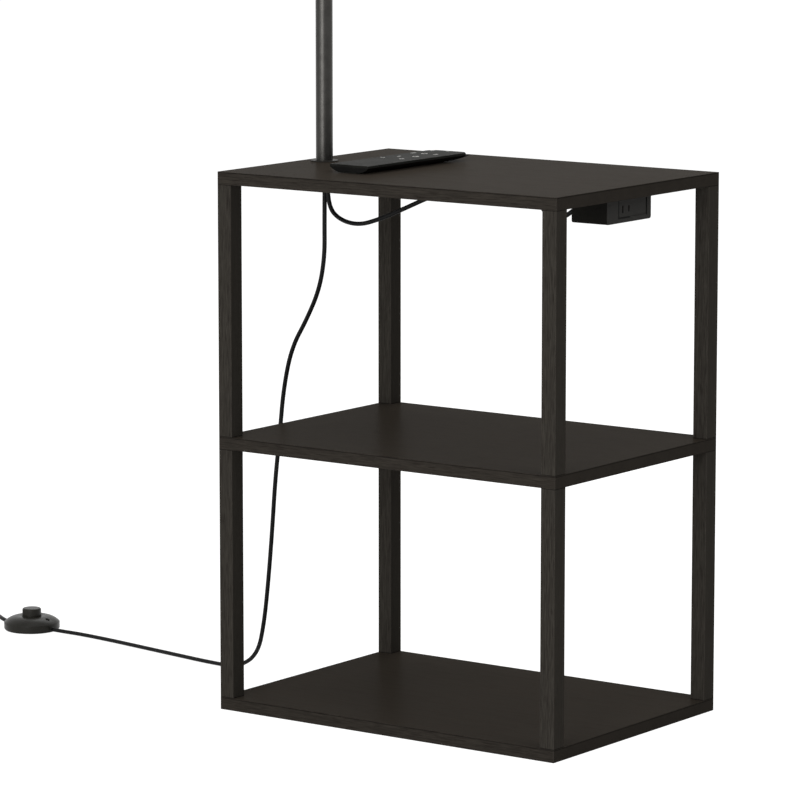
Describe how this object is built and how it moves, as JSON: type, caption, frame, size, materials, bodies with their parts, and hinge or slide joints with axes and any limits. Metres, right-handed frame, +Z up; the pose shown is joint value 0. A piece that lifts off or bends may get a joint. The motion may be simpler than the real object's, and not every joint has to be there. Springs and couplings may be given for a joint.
{
  "type": "shelf floor lamp",
  "caption": "Floor lamp with a drum shade on a pole above an open shelf unit, with an outlet box under the top board, a foot switch and a remote control.",
  "frame": {"origin": "centre of the bottom board's underside, on the floor", "axes": "+Z up; +X along the shelf unit from the lamp pole's end to the outlet box's end; -Y towards the front"},
  "size_m": [1.1294, 0.34, 1.532],
  "materials": {
    "board_laminate": "dark woodgrain laminate, satin",
    "post_laminate": "dark woodgrain laminate, satin",
    "zinc_steel": "zinc plated",
    "insert_brass": "turned",
    "pole_paint": "satin black paint",
    "bushing_plastic": "moulded",
    "lead_insulation": "smooth",
    "contact_metal": "stamped",
    "bulb_metal": "spun",
    "bulb_glass": "frosted",
    "shade_cloth": "linen weave",
    "trim_cloth": "folded tape",
    "box_plastic": "fine moulded grain",
    "receptacle_plastic": "smooth",
    "clip_plastic": "moulded",
    "cord_jacket": "satin, grooved",
    "switch_plastic": "satin moulded",
    "mechanism_plastic": "smooth",
    "plug_plastic": "moulded",
    "remote_plastic": "smooth",
    "remote_film": "printed film",
    "cell_steel": "bright"
  },
  "bodies": {
    "lamp": {"ac_receptacle": "receptacle_plastic", "bottom_board": "board_laminate", "bottom_screws": "zinc_steel", "box_cord": "cord_jacket", "box_faceplate": "box_plastic", "box_housing": "box_plastic", "box_strain_relief": "clip_plastic", "bulb_base": "bulb_metal", "bulb_globe": "bulb_glass", "cord_bushing": "bushing_plastic", "cord_clip": "clip_plastic", "cord_coil": "cord_jacket", "lamp_leads": "lead_insulation", "lower_post_front_left": "post_laminate", "lower_post_front_right": "post_laminate", "lower_post_rear_left": "post_laminate", "lower_post_rear_right": "post_laminate", "mains_cord": "cord_jacket", "middle_board": "board_laminate", "middle_studs": "zinc_steel", "plug_blades": "contact_metal", "plug_body": "plug_plastic", "plug_cord": "cord_jacket", "pole_coupler": "zinc_steel", "pole_flange": "pole_paint", "pole_lower": "pole_paint", "pole_nipple": "zinc_steel", "pole_nut": "zinc_steel", "pole_upper": "pole_paint", "pole_washer": "zinc_steel", "post_inserts": "insert_brass", "receptacle_contacts": "contact_metal", "shade_fabric": "shade_cloth", "shade_frame": "pole_paint", "shade_ring": "bushing_plastic", "shade_trims": "trim_cloth", "socket_cap": "pole_paint", "socket_contacts": "contact_metal", "socket_shell": "bushing_plastic", "switch_base": "switch_plastic", "switch_cover": "switch_plastic", "switch_grommets": "clip_plastic", "switch_mechanism": "mechanism_plastic", "switch_screws": "zinc_steel", "switch_spring": "zinc_steel", "top_board": "board_laminate", "top_studs": "zinc_steel", "underside_screws": "zinc_steel", "upper_post_front_left": "post_laminate", "upper_post_front_right": "post_laminate", "upper_post_rear_left": "post_laminate", "upper_post_rear_right": "post_laminate"},
    "foot_button": {"switch_button": "switch_plastic"},
    "remote": {"remote_lower_case": "remote_plastic", "remote_upper_case": "remote_plastic", "remote_overlay": "remote_film", "remote_battery": "cell_steel"},
    "battery_door": {"remote_battery_door": "remote_plastic"}
  },
  "joints": [
    {"name": "button_press", "type": "slide", "parent": "lamp", "child": "foot_button", "axis": [0, 0, -1], "range_m": [0, 0.003], "stiffness_N_per_m": 500, "springref_m": -0.002, "deforming": ["switch_spring"]},
    {"name": "remote_lift", "type": "slide", "parent": "lamp", "child": "remote", "axis": [0, 0, 1], "range_m": [0, 0.15]},
    {"name": "battery_door_slide", "type": "slide", "parent": "remote", "child": "battery_door", "axis": [0, -1, 0], "range_m": [0, 0.03]}
  ]
}
